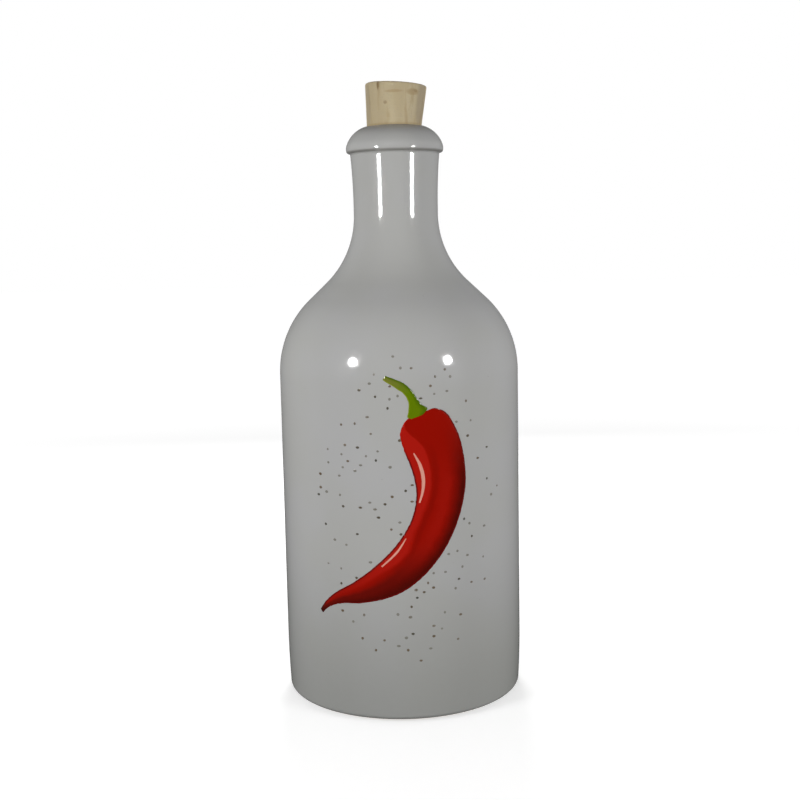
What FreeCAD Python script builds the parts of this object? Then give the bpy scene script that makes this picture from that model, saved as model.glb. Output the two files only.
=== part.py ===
"""A half-litre glazed stoneware oil bottle, shut with a tapered natural cork.

The bottle is one turned piece: a straight body on a ringed foot, a round shoulder, a waisted neck
and a mushroom lip. It stays corked and nothing shows its inside, so it is solid below the cork's
seat. The cork is a second piece. Its lower part is squeezed true in the neck's tapered seat, and
its head leans a little, as a cork pushed home by hand does.

Millimetres, +Z up, origin in the centre of the face that the foot stands on. The cork leans to +X.
"""

import FreeCAD, Part
import math
import os

import Sketcher
from FreeCAD import Vector

# One row of the spreadsheet for each driving dimension: alias, value, what it is.
DIMENSIONS = [
    ("body_diameter", 82.0, "outside of the straight body"),
    ("foot_curve_radius", 350.0, "long curve that draws the body in towards its foot"),
    ("foot_curve_height", 21.0, "height at which that curve ends in the straight body"),
    ("foot_diameter", 74.2, "flat that the bottle stands on, over its outer edge"),
    ("heel_slope", 18.5, "slope of the turned bevel round that flat, from the horizontal, degrees"),
    ("heel_radius", 1.6, "round of the heel, between the bevel and the body"),
    ("foot_edge_round", 1.5, "round between the flat and the bevel"),
    ("recess_radius", 31.0, "dished underside, inside the ring that the bottle stands on"),
    ("recess_depth", 1.8, "depth of the dish"),
    ("recess_slope", 40.0, "slope of the dish's edge, from the horizontal, degrees"),
    ("recess_round", 1.2, "round at the dish's two edges"),
    ("shoulder_height", 111.0, "height at which the straight body ends"),
    ("shoulder_radius", 34.1, "arc of the shoulder"),
    ("shoulder_slope", 46.7, "slope between shoulder and neck, from the vertical, degrees"),
    ("flare_radius", 31.3, "hollow arc from that slope up into the neck"),
    ("neck_diameter", 28.64, "waist of the neck"),
    ("collar_radius", 200.0, "hollow arc that widens the neck under the lip"),
    ("crease_height", 184.7, "height of the crease between the neck and the lip"),
    ("crease_diameter", 30.2, "neck at that crease"),
    ("crease_round", 0.5, "glaze that fills the crease"),
    ("lip_diameter", 32.94, "widest part of the lip"),
    ("edge_radius", 0.9, "tight round under the lip's lower edge"),
    ("edge_height", 185.66, "height of that round's centre"),
    ("bead_radius", 4.0, "fuller round above it, where the lip is widest"),
    ("bead_height", 186.2, "height of that round's centre"),
    ("dome_radius", 9.45, "arc of the lip's top"),
    ("rim_height", 193.7, "height at which the lip's top would meet the cork's seat"),
    ("mouth_edge_radius", 0.8, "round that takes that corner off"),
    ("seat_height", 193.3, "height of the cork's waist, within the round of the mouth"),
    ("seat_diameter", 18.4, "mouth of the bottle and waist of the cork"),
    ("seat_low", 180.3, "height of the seat's floor, and of the cork's lower end"),
    ("cork_taper", 4.2, "half angle of the cork's cone, degrees"),
    ("cork_proud", 14.0, "length of cork above its waist, along its own axis"),
    ("cork_top_diameter", 20.8, "top of the cork"),
    ("cork_lean", 3.5, "lean of the cork's head towards +X, degrees"),
    ("cork_top_round", 0.6, "round of the cork's top edge"),
    ("cork_end_bevel", 0.6, "bevel of the cork's lower edge"),
]
SIZES = {alias: value for alias, value, _ in DIMENSIONS}
SHEET = "Dimensions"

START, END, CENTRE = 1, 2, 3  # the points of a sketched line or arc
ORIGIN, X_AXIS, Y_AXIS = (-1, 1), -1, -2  # what every sketch has


def make_sheet(doc):
    """The spreadsheet of driving dimensions, with an alias on every value."""
    sheet = doc.addObject("Spreadsheet::Sheet", SHEET)
    for row, (alias, value, note) in enumerate(DIMENSIONS, start=1):
        sheet.set(f"A{row}", alias)
        sheet.set(f"B{row}", str(value))
        sheet.setAlias(f"B{row}", alias)
        sheet.set(f"C{row}", note)
    doc.recompute()


def cell(alias, unit="mm"):
    """A cell as an expression with a unit."""
    return f"{SHEET}.{alias} * 1 {unit}"


def half(alias):
    """Half of a cell, for a diameter's radius."""
    return f"{SHEET}.{alias} / 2 * 1 mm"


def seat_radius(height):
    """The radius of the cork's seat at a height, and of the same cone above it."""
    taper = math.tan(math.radians(SIZES["cork_taper"]))
    return SIZES["seat_diameter"] / 2 + (height - SIZES["seat_height"]) * taper


def seat_radius_by(alias):
    """The same as an expression, for the height that a cell holds."""
    rise = f"({SHEET}.{alias} - {SHEET}.seat_height) * tan({SHEET}.cork_taper * 1 deg)"
    return f"({SHEET}.seat_diameter / 2 + {rise}) * 1 mm"


def on_circle(centre, radius, degrees):
    """The point of a circle at an angle."""
    angle = math.radians(degrees)
    return centre[0] + radius * math.cos(angle), centre[1] + radius * math.sin(angle)


def new_sketch(body, name, role):
    """An empty sketch on one of the body's own origin planes."""
    sketch = body.newObject("Sketcher::SketchObject", name)
    plane = next(item for item in body.Origin.OriginFeatures if item.Role == role)
    sketch.AttachmentSupport = [(plane, "")]
    sketch.MapMode = "FlatFace"
    return sketch


def hold(sketch, kind, *where):
    """A constraint with no size, such as Horizontal, Coincident or Tangent."""
    sketch.addConstraint(Sketcher.Constraint(kind, *where))


def drive(sketch, name, kind, where, value, by):
    """A constraint whose size is bound to the spreadsheet. The value is where the solver starts."""
    index = sketch.addConstraint(Sketcher.Constraint(kind, *where, value))
    sketch.renameConstraint(index, name)
    sketch.setExpression(f"Constraints.{name}", by)


class Outline:
    """Half of a turned form, in the XZ plane: x is the radius and y the height."""

    def __init__(self, body, name):
        self.sketch = new_sketch(body, name, "XZ_Plane")

    def line(self, start, end):
        return self.sketch.addGeometry(Part.LineSegment(Vector(*start), Vector(*end)))

    def arc(self, centre, radius, from_degrees, to_degrees):
        """An arc that runs anticlockwise."""
        circle = Part.Circle(Vector(*centre), Vector(0, 0, 1), radius)
        span = math.radians(from_degrees), math.radians(to_degrees)
        return self.sketch.addGeometry(Part.ArcOfCircle(circle, *span))

    def join(self, *joints):
        """Joints between two ends, each a kind (Coincident, or Tangent for a smooth one) and the ends."""
        for kind, one, one_end, other, other_end in joints:
            hold(self.sketch, kind, one, one_end, other, other_end)

    def close(self, *lines):
        """Joins lines end to start all the way round, the last of them on the axis of the turn."""
        for line, following in zip(lines, lines[1:] + lines[:1]):
            hold(self.sketch, "Coincident", line, END, following, START)
        for end in (START, END):
            hold(self.sketch, "PointOnObject", lines[-1], end, Y_AXIS)

    def place(self, name, point, x=None, y=None):
        """Fixes a point's x, its y or both, each given as a value and an expression."""
        for kind, given in (("DistanceX", x), ("DistanceY", y)):
            if given:
                drive(self.sketch, f"{name}_{kind[-1].lower()}", kind, (*ORIGIN, *point), *given)


def bottle_outline(body):
    """The outside of the bottle from its foot to its rim, in tangent arcs, closed along the axis."""
    radius, neck = SIZES["body_diameter"] / 2, SIZES["neck_diameter"] / 2
    heel, foot_curve = SIZES["heel_radius"], SIZES["foot_curve_radius"]
    flat, bevel = SIZES["foot_diameter"] / 2, SIZES["heel_slope"]
    straight_from, straight_to = SIZES["foot_curve_height"], SIZES["shoulder_height"]
    shoulder, slope = SIZES["shoulder_radius"], SIZES["shoulder_slope"]
    flare, collar = SIZES["flare_radius"], SIZES["collar_radius"]
    edge, bead, dome = SIZES["edge_radius"], SIZES["bead_radius"], SIZES["dome_radius"]

    # Where the solver starts. Each centre follows from the arc or line before it.
    heel_turn = -3
    heel_x = radius - heel - 0.6
    heel_z = (heel_x - flat) * math.tan(math.radians(bevel)) + heel / math.cos(math.radians(bevel))
    heel_start = on_circle((heel_x, heel_z), heel, bevel - 90)
    shoulder_end = on_circle((radius - shoulder, straight_to), shoulder, slope)
    flare_x = neck + flare * (1 - math.cos(math.radians(slope)))
    flare_z = shoulder_end[1] + (shoulder_end[0] - flare_x) / math.tan(math.radians(slope))
    flare_centre = neck + flare, flare_z + flare * math.sin(math.radians(slope))
    crease = SIZES["crease_diameter"] / 2, SIZES["crease_height"]
    collar_turn = math.degrees(math.acos(1 - (crease[0] - neck) / collar))
    collar_z = crease[1] - collar * math.sin(math.radians(collar_turn))
    bead_centre = SIZES["lip_diameter"] / 2 - bead, SIZES["bead_height"]
    edge_turn, dome_turn, rim_turn = -80, 20, 75
    bead_turn = -math.degrees(math.asin((bead_centre[1] - SIZES["edge_height"]) / (bead - edge)))
    edge_centre = on_circle(bead_centre, bead - edge, bead_turn)
    dome_centre = on_circle(bead_centre, bead - dome, dome_turn)
    rim = seat_radius(SIZES["rim_height"]), SIZES["rim_height"]

    o = Outline(body, "bottle_outline")
    foot = o.line((0, 0), (flat, 0))
    bevel_line = o.line((flat, 0), heel_start)
    heel_arc = o.arc((heel_x, heel_z), heel, bevel - 90, heel_turn)
    foot_arc = o.arc((radius - foot_curve, straight_from), foot_curve, heel_turn, 0)
    wall = o.line((radius, straight_from), (radius, straight_to))
    shoulder_arc = o.arc((radius - shoulder, straight_to), shoulder, 0, slope)
    slope_line = o.line(shoulder_end, (flare_x, flare_z))
    flare_arc = o.arc(flare_centre, flare, 180, 180 + slope)
    neck_line = o.line((neck, flare_centre[1]), (neck, collar_z))
    collar_arc = o.arc((neck + collar, collar_z), collar, 180 - collar_turn, 180)
    underside = o.line(crease, on_circle(edge_centre, edge, edge_turn))
    edge_arc = o.arc(edge_centre, edge, edge_turn, bead_turn)
    bead_arc = o.arc(bead_centre, bead, bead_turn, dome_turn)
    dome_arc = o.arc(dome_centre, dome, dome_turn, rim_turn)
    top = o.line(rim, (0, rim[1]))
    axis = o.line((0, rim[1]), (0, 0))

    # Smooth from the bevel up to the crease, and again from the lip's underside to the mouth.
    # The two hollow arcs run down the outline, so the line below each meets its end.
    o.join(
        ("Coincident", axis, END, foot, START),
        ("Coincident", foot, END, bevel_line, START),
        ("Tangent", bevel_line, END, heel_arc, START),
        ("Tangent", heel_arc, END, foot_arc, START),
        ("Tangent", foot_arc, END, wall, START),
        ("Tangent", wall, END, shoulder_arc, START),
        ("Tangent", shoulder_arc, END, slope_line, START),
        ("Tangent", slope_line, END, flare_arc, END),
        ("Tangent", flare_arc, START, neck_line, START),
        ("Tangent", neck_line, END, collar_arc, END),
        ("Coincident", collar_arc, START, underside, START),
        ("Tangent", underside, END, edge_arc, START),
        ("Tangent", edge_arc, END, bead_arc, START),
        ("Tangent", bead_arc, END, dome_arc, START),
        ("Coincident", dome_arc, END, top, START),
        ("Coincident", top, END, axis, START),
    )
    hold(o.sketch, "Coincident", foot, START, *ORIGIN)
    hold(o.sketch, "Horizontal", foot)
    hold(o.sketch, "Vertical", wall)
    hold(o.sketch, "Vertical", neck_line)
    hold(o.sketch, "Horizontal", top)
    hold(o.sketch, "PointOnObject", top, END, Y_AXIS)

    arcs = {
        "heel_radius": heel_arc,
        "foot_curve_radius": foot_arc,
        "shoulder_radius": shoulder_arc,
        "flare_radius": flare_arc,
        "collar_radius": collar_arc,
        "edge_radius": edge_arc,
        "bead_radius": bead_arc,
        "dome_radius": dome_arc,
    }
    for alias, arc in arcs.items():
        drive(o.sketch, alias, "Radius", (arc,), SIZES[alias], by=cell(alias))
    rise = f"(90 + {SHEET}.shoulder_slope) * 1 deg"
    drive(o.sketch, "shoulder_slope", "Angle", (slope_line,), math.radians(90 + slope), by=rise)
    rise = cell("heel_slope", "deg")
    drive(o.sketch, "heel_slope", "Angle", (bevel_line,), math.radians(bevel), by=rise)

    bead_by = f"({SHEET}.lip_diameter / 2 - {SHEET}.bead_radius) * 1 mm"
    across = {
        "flat": ((foot, END), flat, half("foot_diameter")),
        "wall": ((wall, START), radius, half("body_diameter")),
        "waist": ((neck_line, START), neck, half("neck_diameter")),
        "crease": ((collar_arc, START), crease[0], half("crease_diameter")),
        "bead": ((bead_arc, CENTRE), bead_centre[0], bead_by),
        "rim": ((dome_arc, END), rim[0], seat_radius_by("rim_height")),
    }
    for name, (point, x, by) in across.items():
        o.place(f"{name}_across", point, x=(x, by))
    heights = {
        "foot_curve_height": (wall, START),
        "shoulder_height": (wall, END),
        "crease_height": (collar_arc, START),
        "edge_height": (edge_arc, CENTRE),
        "bead_height": (bead_arc, CENTRE),
        "rim_height": (dome_arc, END),
    }
    for alias, point in heights.items():
        o.place(alias, point, y=(SIZES[alias], cell(alias)))
    return o.sketch


def seat_outline(body):
    """Half of the cork's tapered seat. It runs on above the rim, so that the cut opens the mouth."""
    low, high, taper = SIZES["seat_low"], SIZES["rim_height"] + 3, SIZES["cork_taper"]
    o = Outline(body, "seat_outline")
    floor = o.line((0, low), (seat_radius(low), low))
    wall = o.line((seat_radius(low), low), (seat_radius(high), high))
    lid = o.line((seat_radius(high), high), (0, high))
    axis = o.line((0, high), (0, low))
    o.close(floor, wall, lid, axis)
    hold(o.sketch, "Horizontal", floor)
    hold(o.sketch, "Horizontal", lid)
    steep = f"(90 - {SHEET}.cork_taper) * 1 deg"
    drive(o.sketch, "taper", "Angle", (wall,), math.radians(90 - taper), by=steep)
    foot = (seat_radius(low), seat_radius_by("seat_low")), (low, cell("seat_low"))
    o.place("wall_foot", (wall, START), *foot)
    o.place("lid", (lid, END), y=(high, f"({SHEET}.rim_height + 3) * 1 mm"))
    return o.sketch


def recess_outline(body):
    """Half of the dish under the bottle. It starts below the foot, so that the cut opens downwards."""
    radius, depth, low = SIZES["recess_radius"], SIZES["recess_depth"], -1
    across = 1 / math.tan(math.radians(SIZES["recess_slope"]))
    inner, outer = radius - depth * across, radius - low * across
    o = Outline(body, "recess_outline")
    base = o.line((0, low), (outer, low))
    edge = o.line((outer, low), (inner, depth))
    ceiling = o.line((inner, depth), (0, depth))
    axis = o.line((0, depth), (0, low))
    o.close(base, edge, ceiling, axis)
    hold(o.sketch, "Horizontal", base)
    hold(o.sketch, "Horizontal", ceiling)
    steep = f"(180 - {SHEET}.recess_slope) * 1 deg"
    drive(o.sketch, "slope", "Angle", (edge,), math.radians(180 - SIZES["recess_slope"]), by=steep)
    inner_by = f"({SHEET}.recess_radius - {SHEET}.recess_depth / tan({SHEET}.recess_slope * 1 deg)) * 1 mm"
    o.place("ceiling", (ceiling, START), (inner, inner_by), (depth, cell("recess_depth")))
    o.place("base", (base, START), y=(low, f"{low} mm"))
    return o.sketch


def turn(body, kind, name, sketch):
    """A full turn of an outline about the vertical axis: a Revolution adds and a Groove cuts."""
    volume = body.Tip.Shape.Volume if body.Tip else 0
    feature = body.newObject(kind, name)
    feature.Profile = sketch
    feature.ReferenceAxis = (sketch, ["V_Axis"])
    feature.Angle = 360
    body.Document.recompute()
    if (feature.Shape.Volume > volume) != (kind == "PartDesign::Revolution"):
        raise RuntimeError(f"{name} left the solid as it was")


def ring_edges(shape, radius, height, within=0.02):
    """The names of a turned shape's level edges at a radius and a height."""
    names = []
    for number, edge in enumerate(shape.Edges, start=1):
        box = edge.BoundBox
        level = abs(box.ZMin - height) < within and abs(box.ZMax - height) < within
        if level and abs(box.XMax - radius) < within and abs(box.XMin + radius) < within:
            names.append(f"Edge{number}")
    return names


def face_edges(shape, face):
    """The names of the edges round one of a shape's faces."""
    edges = enumerate(shape.Edges, start=1)
    return [f"Edge{number}" for number, edge in edges if any(edge.isSame(own) for own in face.Edges)]


def dress(body, kind, name, edges, alias):
    """A Fillet or a Chamfer on edges of the solid so far, its size bound to a cell."""
    if not edges:
        raise RuntimeError(f"{name} found no edge")
    tip = body.Tip
    feature = body.newObject(f"PartDesign::{kind}", name)
    feature.Base = (tip, edges)
    feature.setExpression({"Fillet": "Radius", "Chamfer": "Size"}[kind], cell(alias))
    body.Document.recompute()


def make_bottle(doc):
    """The stoneware: one turned solid, with the cork's seat cut down its neck and a dish underneath."""
    body = doc.addObject("PartDesign::Body", "Bottle")
    body.Label = "bottle"
    turn(body, "PartDesign::Revolution", "outside", bottle_outline(body))
    turn(body, "PartDesign::Groove", "cork_seat", seat_outline(body))
    turn(body, "PartDesign::Groove", "foot_recess", recess_outline(body))

    depth = SIZES["recess_depth"]
    inner = SIZES["recess_radius"] - depth / math.tan(math.radians(SIZES["recess_slope"]))
    shape = body.Tip.Shape
    edges = ring_edges(shape, SIZES["recess_radius"], 0) + ring_edges(shape, inner, depth)
    dress(body, "Fillet", "recess_rounds", edges, "recess_round")
    edges = ring_edges(body.Tip.Shape, SIZES["foot_diameter"] / 2, 0)
    dress(body, "Fillet", "foot_edge", edges, "foot_edge_round")
    edges = ring_edges(body.Tip.Shape, SIZES["crease_diameter"] / 2, SIZES["crease_height"])
    dress(body, "Fillet", "crease_glaze", edges, "crease_round")
    edges = ring_edges(body.Tip.Shape, seat_radius(SIZES["rim_height"]), SIZES["rim_height"])
    dress(body, "Fillet", "mouth_edge", edges, "mouth_edge_radius")
    return body


def disc(body, name, diameter, diameter_by, height_by):
    """A circle about the vertical axis, lifted to a height."""
    sketch = new_sketch(body, name, "XY_Plane")
    circle = sketch.addGeometry(Part.Circle(Vector(0, 0, 0), Vector(0, 0, 1), diameter / 2))
    hold(sketch, "Coincident", circle, CENTRE, *ORIGIN)
    drive(sketch, "across", "Diameter", (circle,), diameter, by=diameter_by)
    sketch.setExpression("AttachmentOffset.Base.z", height_by)
    return sketch


def make_cork(doc):
    """The cork: a cone squeezed true in its seat, and a head that widens and leans above it."""
    body = doc.addObject("PartDesign::Body", "Cork")
    body.Label = "cork"
    low = 2 * seat_radius(SIZES["seat_low"])
    end = disc(body, "lower_end", low, f"2 * {seat_radius_by('seat_low')}", cell("seat_low"))
    waist = disc(body, "waist", SIZES["seat_diameter"], cell("seat_diameter"), cell("seat_height"))

    # The top leans about the middle of the waist.
    lean, proud = cell("cork_lean", "deg"), cell("cork_proud")
    rise = f"{cell('seat_height')} + {proud} * cos({lean})"
    top = disc(body, "top", SIZES["cork_top_diameter"], cell("cork_top_diameter"), rise)
    top.setExpression("AttachmentOffset.Base.x", f"{proud} * sin({lean})")
    top.AttachmentOffset = FreeCAD.Placement(Vector(), FreeCAD.Rotation(Vector(0, 1, 0), 1))
    top.setExpression("AttachmentOffset.Rotation.Angle", lean)
    doc.recompute()

    for name, lower, upper in (("plug", end, waist), ("head", waist, top)):
        loft = body.newObject("PartDesign::AdditiveLoft", name)
        loft.Profile = lower
        loft.Sections = [upper]
        loft.Ruled = True
        doc.recompute()

    shape = body.Tip.Shape
    highest = max(shape.Faces, key=lambda face: face.CenterOfMass.z)
    dress(body, "Fillet", "worn_top", face_edges(shape, highest), "cork_top_round")
    shape = body.Tip.Shape
    lowest = min(shape.Faces, key=lambda face: face.CenterOfMass.z)
    dress(body, "Chamfer", "end_bevel", face_edges(shape, lowest), "cork_end_bevel")
    return body


def check(doc, pieces):
    """Stops the build on a failed object, a loose sketch, or a piece that isn't one valid solid."""
    for item in doc.Objects:
        if {"Invalid", "Error"} & set(item.State):
            raise RuntimeError(f"{item.Name} failed: {item.State}")
        if item.TypeId == "Sketcher::SketchObject" and not item.FullyConstrained:
            raise RuntimeError(f"{item.Name} is not fully constrained")
    for piece in pieces:
        if piece.Shape.isNull() or not piece.Shape.isValid() or len(piece.Shape.Solids) != 1:
            raise RuntimeError(f"{piece.Label} is not one valid solid")


def main():
    doc = FreeCAD.newDocument("corked_oil_bottle")
    make_sheet(doc)
    pieces = [make_bottle(doc), make_cork(doc)]
    doc.recompute()
    check(doc, pieces)
    os.makedirs("parts", exist_ok=True)
    for piece in pieces:
        piece.Shape.exportStep(os.path.join("parts", f"{piece.Label}.step"))
        box = piece.Shape.optimalBoundingBox()
        print(f"{piece.Label}: {box.XLength:.2f} x {box.YLength:.2f} x {box.ZLength:.2f} mm, "
              f"top {box.ZMax:.2f} mm, {piece.Shape.Volume / 1000:.1f} ml")


main()
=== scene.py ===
import math
import random

import bpy
import numpy as np
from mathutils import Matrix, Vector, noise
from mathutils.bvhtree import BVHTree


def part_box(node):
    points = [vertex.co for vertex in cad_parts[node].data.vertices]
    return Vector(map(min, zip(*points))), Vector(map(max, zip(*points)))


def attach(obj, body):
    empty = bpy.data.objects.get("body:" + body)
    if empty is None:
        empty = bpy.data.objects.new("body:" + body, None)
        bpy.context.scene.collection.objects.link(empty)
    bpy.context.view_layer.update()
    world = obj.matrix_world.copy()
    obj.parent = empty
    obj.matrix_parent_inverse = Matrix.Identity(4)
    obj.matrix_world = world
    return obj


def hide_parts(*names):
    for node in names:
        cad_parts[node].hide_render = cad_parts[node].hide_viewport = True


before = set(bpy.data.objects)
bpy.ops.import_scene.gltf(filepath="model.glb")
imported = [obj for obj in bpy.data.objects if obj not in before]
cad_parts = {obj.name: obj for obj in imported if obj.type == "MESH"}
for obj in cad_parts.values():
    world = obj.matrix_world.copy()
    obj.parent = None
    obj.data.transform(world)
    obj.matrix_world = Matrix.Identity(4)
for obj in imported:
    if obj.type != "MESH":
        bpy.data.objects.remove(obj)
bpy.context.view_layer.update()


# ---------------------------------------------------------------------------
# Studio. A pale table runs out of sight, and soft lamps stand left, right and
# behind. A drape, darkest in front, hangs all round, so that the front of the
# glaze mirrors little but two small upright strip lights.
# ---------------------------------------------------------------------------

MM = 0.001


class Wire:
    """One output of a node. Arithmetic written on wires adds its Math nodes."""

    def __init__(self, tree, socket):
        self.tree, self.socket = tree, socket

    def maths(self, operation, *others):
        return self.tree.node("ShaderNodeMath", {"operation": operation}, dict(enumerate((self, *others))))

    def __add__(self, other):
        return self.maths("ADD", other)

    def __radd__(self, other):
        return self.maths("ADD", other)

    def __sub__(self, other):
        return self.maths("SUBTRACT", other)

    def __rsub__(self, other):
        return self.maths("MULTIPLY", -1).maths("ADD", other)

    def __mul__(self, other):
        return self.maths("MULTIPLY", other)

    def __rmul__(self, other):
        return self.maths("MULTIPLY", other)

    def __truediv__(self, other):
        return self.maths("DIVIDE", other)

    def __rtruediv__(self, other):
        return self.maths("POWER", -1).maths("MULTIPLY", other)

    def __pow__(self, other):
        return self.maths("POWER", other)

    def __abs__(self):
        return self.maths("ABSOLUTE")


class Tree:
    """A node tree while it is put together, for a finish or for a shape."""

    def __init__(self, node_tree):
        self.nodes, self.links = node_tree.nodes, node_tree.links
        self.nodes.clear()

    def node(self, kind, settings=None, sockets=None, out=0):
        """Adds a node: its settings first, then a number or a wire for each socket."""
        made = self.nodes.new(kind)
        for name, value in (settings or {}).items():
            if name == "stops":
                ramp = made.color_ramp.elements
                while len(ramp) < len(value):
                    ramp.new(0.5)
                for stop, (place, colour) in zip(ramp, value):
                    stop.position, stop.color = place, colour
            else:
                setattr(made, name, value)
        for key, value in (sockets or {}).items():
            if isinstance(value, Wire):
                self.links.new(value.socket, made.inputs[key])
            else:
                made.inputs[key].default_value = value
        return Wire(self, made.outputs[out]) if made.outputs else made

    def step(self, value, start, end, low=0.0, high=1.0):
        """A smooth rise from low to high while value goes from start to end."""
        return self.node("ShaderNodeMapRange", {"interpolation_type": "SMOOTHSTEP"},
                         {"Value": value, "From Min": start, "From Max": end,
                          "To Min": low, "To Max": high})

    def blend(self, share, first, second):
        """The first colour where share is 0 and the second where it is 1."""
        return self.node("ShaderNodeMix", {"data_type": "RGBA"},
                         {0: share, 6: first, 7: second}, out=2)

    def parts(self, vector):
        """The three numbers of a vector."""
        split = self.node("ShaderNodeSeparateXYZ", sockets={0: vector})
        return [Wire(self, s) for s in split.socket.node.outputs]

    def cloud(self, place, size, detail=2.0):
        """Soft noise whose patches are about size metres across."""
        return self.node("ShaderNodeTexNoise", sockets={
            "Vector": place, "Scale": 1 / size, "Detail": detail}, out="Fac")

    def plain_sight(self):
        """1 for a ray from the camera, off a glossy surface or through clear glass, and 0 for the rest."""
        rays = self.node("ShaderNodeLightPath").socket.node.outputs
        seen, mirrored, through = (
            Wire(self, rays[name]) for name in ("Is Camera Ray", "Is Glossy Ray", "Is Transmission Ray"))
        return seen.maths("MAXIMUM", mirrored).maths("MAXIMUM", through)


def srgb(red, green, blue):
    """A colour written as a screen shows it, 0 to 255, as the light a shader wants."""
    def light(c):
        c /= 255
        return c / 12.92 if c <= 0.04045 else ((c + 0.055) / 1.055) ** 2.4
    return (light(red), light(green), light(blue), 1.0)


def new_finish(name):
    """A new material and its empty tree."""
    material = bpy.data.materials.new(name)
    material.use_nodes = True
    return material, Tree(material.node_tree)


def finish_surface(tree, shader):
    """Ends a material's tree with the shader that its surface shows."""
    tree.node("ShaderNodeOutputMaterial", sockets={"Surface": shader})


def add_piece(name, mesh):
    """Puts a mesh in the scene as an object at the origin."""
    piece = bpy.data.objects.new(name, mesh)
    bpy.context.scene.collection.objects.link(piece)
    return piece


def grid_faces(rows, columns, closed=False):
    """Four-sided faces over rows of points, joined round in a ring where closed."""
    span = columns if closed else columns - 1
    return [(j * columns + i, j * columns + (i + 1) % columns,
             (j + 1) * columns + (i + 1) % columns, (j + 1) * columns + i)
            for j in range(rows - 1) for i in range(span)]


# Camera: level with the lower neck, looking slightly down.
EYE = Vector((0.0, -0.4131, 0.1546))
LOOK_DOWN, LOOK_ASIDE, LEAN = math.radians(7.461), math.radians(-0.023), math.radians(-1.126)
LENS = 53.93
CLIP_NEAR, CLIP_FAR = 0.01, 50

camera = bpy.data.objects.new("camera", bpy.data.cameras.new("camera"))
camera.data.lens = LENS
camera.data.clip_start, camera.data.clip_end = CLIP_NEAR, CLIP_FAR
camera.matrix_world = (Matrix.Translation(EYE)
                       @ Matrix.Rotation(LOOK_ASIDE, 4, "Z")
                       @ Matrix.Rotation(math.pi / 2 - LOOK_DOWN, 4, "X")
                       @ Matrix.Rotation(LEAN, 4, "Z"))
bpy.context.scene.collection.objects.link(camera)
bpy.context.scene.camera = camera
bpy.context.scene.view_settings.view_transform = "Standard"

# Room light: pale walls, a dim ceiling, and white behind the set for the camera.
WALL_LIGHT, CEILING_LIGHT = 0.68, 0.14
WALL_TOP, CEILING_EDGE = 0.15, 0.75

world = bpy.data.worlds.new("room")
bpy.context.scene.world = world
world.use_nodes = True
air = Tree(world.node_tree)
_, _, rise = air.parts(air.node("ShaderNodeTexCoord", out="Generated"))
room = air.step(rise, WALL_TOP, CEILING_EDGE, WALL_LIGHT, CEILING_LIGHT)
air.node("ShaderNodeOutputWorld", sockets={"Surface": air.node("ShaderNodeBackground", sockets={
    "Color": (1, 1, 1, 1), "Strength": room + (1 - room) * air.plain_sight()})})

# Soft lamps: two in front and one straight behind. Turn from the front, height and power of each.
LAMPS = {"left": (math.radians(-52), 0.175, 1.11), "right": (math.radians(52), 0.135, 0.92),
         "back": (math.pi, 0.30, 1.5)}
LAMP_DISTANCE, LAMP_SIZE, LAMP_AIM = 0.42, 0.16, Vector((0, 0, 0.12))

for side, (turn, height, power) in LAMPS.items():
    light = bpy.data.lights.new("lamp_" + side, "AREA")
    light.shape, light.size, light.energy = "DISK", LAMP_SIZE, power
    lamp = bpy.data.objects.new("lamp_" + side, light)
    lamp.location = (LAMP_DISTANCE * math.sin(turn), -LAMP_DISTANCE * math.cos(turn), height)
    lamp.rotation_euler = (lamp.location - LAMP_AIM).to_track_quat("Z", "Y").to_euler()
    lamp.visible_glossy = False
    bpy.context.scene.collection.objects.link(lamp)


def only_in_gloss(thing):
    """Shows a stage piece in the glaze's reflections and nowhere else."""
    thing.visible_camera = thing.visible_diffuse = thing.visible_shadow = False
    thing.visible_transmission = thing.visible_volume_scatter = False


# Table top.
TABLE_HALF = 4.0
TABLE_DROP = 0.3 * MM
TABLE_SEEN, GLOW_NEAR, GLOW_FAR, GLOW_FROM, GLOW_TO = 0.65, 0.55, 0.86, 0.15, 0.8
# What it sends up onto the bottle, and more under the foot, so that a look from below finds light.
TABLE_BOUNCE, FOOT_BOUNCE, FOOT_LIT, FOOT_LIT_CORE = 0.17, 0.8, 38 * MM, 0.97

mesh = bpy.data.meshes.new("table")
mesh.from_pydata([(x, y, -TABLE_DROP) for x, y in
                  ((-TABLE_HALF, -TABLE_HALF), (TABLE_HALF, -TABLE_HALF),
                   (TABLE_HALF, TABLE_HALF), (-TABLE_HALF, TABLE_HALF))], [], [(0, 1, 2, 3)])
table = add_piece("table", mesh)
material, t = new_finish("table_top")
x, y, _ = t.parts(t.node("ShaderNodeTexCoord", out="Object"))
away = (x * x + y * y).maths("SQRT")
pale = t.node("ShaderNodeAddShader", sockets={
    0: t.node("ShaderNodeBsdfDiffuse", sockets={"Color": (TABLE_SEEN,) * 3 + (1,)}),
    1: t.node("ShaderNodeEmission", sockets={
        "Color": (1, 1, 1, 1), "Strength": t.step(away, GLOW_FROM, GLOW_TO, GLOW_NEAR, GLOW_FAR)})})
under_foot = t.step(away, FOOT_LIT, FOOT_LIT_CORE * FOOT_LIT, TABLE_BOUNCE, FOOT_BOUNCE)
dull = t.node("ShaderNodeEmission", sockets={"Color": (1, 1, 1, 1), "Strength": under_foot})
clear = t.node("ShaderNodeBsdfTransparent")
shown = t.node("ShaderNodeMixShader", sockets={0: t.plain_sight(), 1: dull, 2: pale})
below = t.node("ShaderNodeNewGeometry", out="Backfacing")
finish_surface(t, t.node("ShaderNodeMixShader", sockets={0: below, 1: shown, 2: clear}))
mesh.materials.append(material)

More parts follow.
